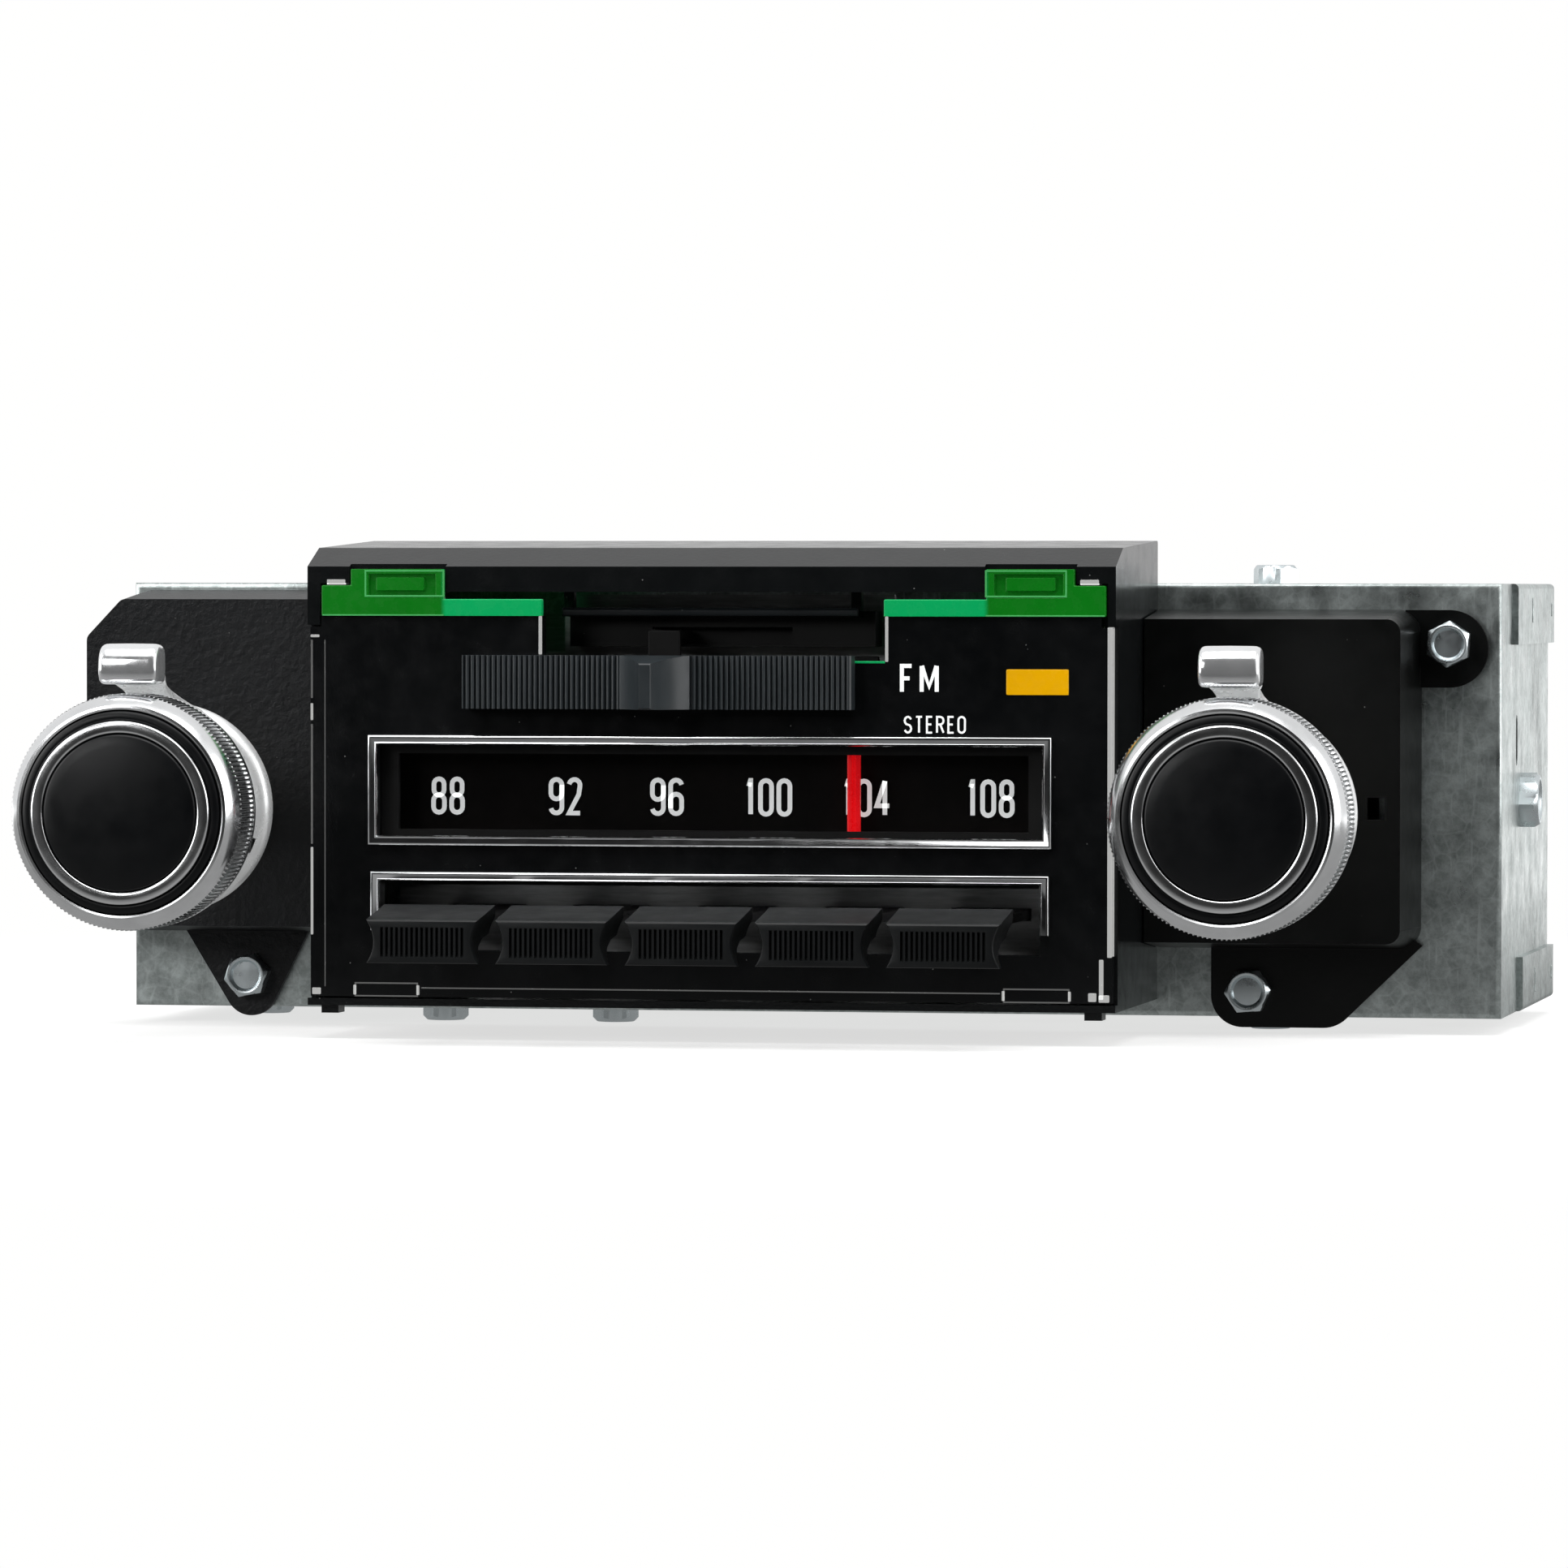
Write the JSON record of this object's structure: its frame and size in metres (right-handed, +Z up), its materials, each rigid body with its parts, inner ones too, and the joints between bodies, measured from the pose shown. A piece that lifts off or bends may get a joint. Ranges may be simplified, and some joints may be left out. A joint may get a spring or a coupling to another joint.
{
  "type": "car radio",
  "caption": "Dashboard car radio with a slide-rule dial, a ribbed band slider, preset pushbuttons and concentric control knobs on both sides of a galvanised case.",
  "frame": {"origin": "midway between the two control shafts, on the front face of the dial plate", "axes": "+X to the right seen from the front, +Y from the front to the back, +Z up"},
  "size_m": [0.2275, 0.1699, 0.0771],
  "materials": {
    "galvanised": "galvanised sheet steel with spangle and light scratches",
    "heat_sink_metal": "sand-cast aluminium, dull",
    "transistor_metal": "nickel-plated steel can",
    "plated_brass": "nickel-plated brass, slightly dulled",
    "socket_plastic": "moulded black phenolic",
    "wrinkle_black": "black wrinkle paint on steel",
    "satin_black": "smooth satin black paint on steel",
    "zinc_screw": "bright zinc-plated hexagon screws",
    "nose_plastic": "moulded dark grey-black plastic, satin",
    "dial_black": "clear plate painted gloss black behind",
    "clear_plastic": "clear acrylic",
    "chrome_trim": "bright chrome",
    "green_plastic": "translucent green acrylic",
    "dial_print": "matt black scale with white numbers",
    "box_black": "moulded black plastic",
    "lamp_glass": "small glass bulbs",
    "amber_plastic": "translucent amber lens",
    "frame_steel": "plain plated steel strip",
    "spring_steel": "oiled spring wire",
    "board_laminate": "brown paper laminate",
    "can_metal": "drawn aluminium cans",
    "capacitor_sleeve": "blue plastic sleeve",
    "coil_form": "wound coil on a paper form, red lacquer",
    "control_case": "brown phenolic case",
    "cord_braid": "waxed braided cord",
    "knob_chrome": "bright chrome with straight knurl",
    "knob_black": "satin black insert",
    "shaft_steel": "turned steel",
    "slider_plastic": "ribbed slate-grey plastic",
    "button_plastic": "grooved black plastic",
    "slide_steel": "stamped steel strip",
    "pointer_red": "red plastic pointer",
    "core_ferrite": "grey ferrite",
    "rack_metal": "brass rack"
  },
  "bodies": {
    "radio": {"chassis_frame": "galvanised", "top_cover": "galvanised", "bottom_cover": "galvanised", "heat_sink": "heat_sink_metal", "power_transistors": "transistor_metal", "antenna_socket": "plated_brass", "rear_sockets": "socket_plastic", "left_control_housing": "wrinkle_black", "right_control_housing": "satin_black", "bracket_screws": "zinc_screw", "cover_screws": "zinc_screw", "support_studs": "zinc_screw", "nose_housing": "nose_plastic", "dial_plate": "dial_black", "dial_window": "clear_plastic", "dial_bezel": "chrome_trim", "button_bezel": "chrome_trim", "green_filter_left": "green_plastic", "green_filter_right": "green_plastic", "dial_scale": "dial_print", "light_box": "box_black", "dial_lamps": "lamp_glass", "stereo_lens": "amber_plastic", "dial_frame": "frame_steel", "slide_guide": "frame_steel", "return_springs": "spring_steel", "circuit_board": "board_laminate", "shield_cans": "can_metal", "filter_capacitors": "capacitor_sleeve", "tuner_coils": "coil_form", "tuner_bracket": "frame_steel", "shaft_bushings": "plated_brass", "volume_control": "control_case", "balance_control": "control_case", "band_switch": "box_black", "dial_cord": "cord_braid"},
    "volume_knob": {"volume_knob": "knob_chrome", "volume_knob_insert": "knob_black", "volume_shaft": "shaft_steel"},
    "tone_lever": {"tone_lever": "knob_chrome"},
    "tuning_knob": {"tuning_knob": "knob_chrome", "tuning_knob_insert": "knob_black", "tuning_shaft": "shaft_steel"},
    "balance_lever": {"balance_lever": "knob_chrome"},
    "band_slider": {"band_slider": "slider_plastic"},
    "pointer": {"pointer": "pointer_red"},
    "core_rack": {"core_rack": "rack_metal", "tuner_cores": "core_ferrite"},
    "drive_pulley": {"drive_pulley": "shaft_steel"},
    "idler_pulley": {"idler_pulley": "shaft_steel"},
    "button_1": {"button_1": "button_plastic", "button_slide_1": "slide_steel"},
    "button_2": {"button_2": "button_plastic", "button_slide_2": "slide_steel"},
    "button_3": {"button_3": "button_plastic", "button_slide_3": "slide_steel"},
    "button_4": {"button_4": "button_plastic", "button_slide_4": "slide_steel"},
    "button_5": {"button_5": "button_plastic", "button_slide_5": "slide_steel"}
  },
  "joints": [
    {"name": "volume_turn", "type": "hinge", "parent": "radio", "child": "volume_knob", "pos_m": [-0.084, 0, 0], "axis": [0, 1, 0], "range_deg": [-150, 150]},
    {"name": "tone_turn", "type": "hinge", "parent": "radio", "child": "tone_lever", "pos_m": [-0.084, 0, 0], "axis": [0, 1, 0], "range_deg": [-45, 45]},
    {"name": "tuning_turn", "type": "hinge", "parent": "radio", "child": "tuning_knob", "pos_m": [0.084, 0, 0], "axis": [0, 1, 0], "range_deg": [-1178.14, 397.49]},
    {"name": "balance_turn", "type": "hinge", "parent": "radio", "child": "balance_lever", "pos_m": [0.084, 0, 0], "axis": [0, 1, 0], "range_deg": [-45, 45]},
    {"name": "band_slide", "type": "slide", "parent": "radio", "child": "band_slider", "axis": [1, 0, 0], "range_m": [0, 0.0149]},
    {"name": "pointer_slide", "type": "slide", "parent": "radio", "child": "pointer", "axis": [1, 0, 0], "range_m": [-0.0659, 0.0223]},
    {"name": "core_slide", "type": "slide", "parent": "radio", "child": "core_rack", "axis": [0, 1, 0], "range_m": [-0.015, 0.0051]},
    {"name": "drive_pulley_turn", "type": "hinge", "parent": "radio", "child": "drive_pulley", "pos_m": [0.053, 0, 0.0188], "axis": [0, 1, 0], "range_deg": [-1078.16, 364.42]},
    {"name": "idler_turn", "type": "hinge", "parent": "radio", "child": "idler_pulley", "pos_m": [-0.053, 0, 0.0188], "axis": [0, 1, 0], "range_deg": [-1078.16, 364.42]},
    {"name": "button_1_press", "type": "slide", "parent": "radio", "child": "button_1", "axis": [0, 1, 0], "range_m": [-0.005, 0.008], "stiffness_N_per_m": 400, "deforming": ["return_springs"]},
    {"name": "button_2_press", "type": "slide", "parent": "radio", "child": "button_2", "axis": [0, 1, 0], "range_m": [-0.005, 0.008], "stiffness_N_per_m": 400, "deforming": ["return_springs"]},
    {"name": "button_3_press", "type": "slide", "parent": "radio", "child": "button_3", "axis": [0, 1, 0], "range_m": [-0.005, 0.008], "stiffness_N_per_m": 400, "deforming": ["return_springs"]},
    {"name": "button_4_press", "type": "slide", "parent": "radio", "child": "button_4", "axis": [0, 1, 0], "range_m": [-0.005, 0.008], "stiffness_N_per_m": 400, "deforming": ["return_springs"]},
    {"name": "button_5_press", "type": "slide", "parent": "radio", "child": "button_5", "axis": [0, 1, 0], "range_m": [-0.005, 0.008], "stiffness_N_per_m": 400, "deforming": ["return_springs"]}
  ],
  "couplings": [
    {"joint": "pointer_slide", "follows": "tuning_turn", "m_per_rad": 0.0032},
    {"joint": "core_slide", "follows": "tuning_turn", "m_per_rad": 0.0007273},
    {"joint": "drive_pulley_turn", "follows": "tuning_turn", "ratio": 0.91429},
    {"joint": "idler_turn", "follows": "tuning_turn", "ratio": 0.91429}
  ]
}
